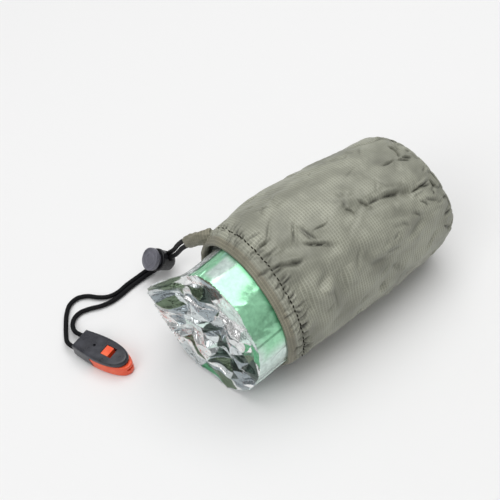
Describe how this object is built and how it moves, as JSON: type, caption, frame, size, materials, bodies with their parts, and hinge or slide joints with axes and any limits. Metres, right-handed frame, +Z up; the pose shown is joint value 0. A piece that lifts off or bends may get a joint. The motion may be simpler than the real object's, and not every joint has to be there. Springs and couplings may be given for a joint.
{
  "type": "rolled emergency sleeping bag in a drawcord stuff sack with a cord lock and whistle",
  "caption": "Rolled metallised-film emergency sleeping bag, half drawn out of a grey-green ripstop stuff sack with a drawcord, barrel cord lock and orange and black whistle.",
  "frame": {"origin": "on the surface it lies on, under the middle of the box round the sack and the roll, the drawcord and what is on it left out", "axes": "+X along the sack from its open mouth to its base panel, +Y to the side where the drawcord leaves the hem, +Z up from the surface"},
  "size_m": [0.2302, 0.1573, 0.0911],
  "materials": {
    "sack_cloth": "grey-green ripstop nylon, soft sheen",
    "film": "green and silver metallised plastic film, mirror-like and crumpled",
    "cord_cover": "black braided polyester",
    "lock_plastic": "black moulded acetal, fine grain",
    "whistle_black": "black moulded nylon, fine grain",
    "whistle_orange": "orange moulded ABS, satin"
  },
  "bodies": {
    "bag": {"sack_body": "sack_cloth", "sack_base": "sack_cloth", "film_roll": "film", "drawcord_strand_a": "cord_cover", "drawcord_strand_b": "cord_cover", "cord_lock_barrel": "lock_plastic", "whistle_shell": "whistle_black", "whistle_core": "whistle_orange"},
    "lock_button": {"cord_lock_button": "lock_plastic"}
  },
  "joints": [
    {"name": "lock_button_press", "type": "slide", "parent": "bag", "child": "lock_button", "axis": [0.7528, -0.0336, -0.6574], "range_m": [0, 0.0025], "stiffness_N_per_m": 800}
  ]
}
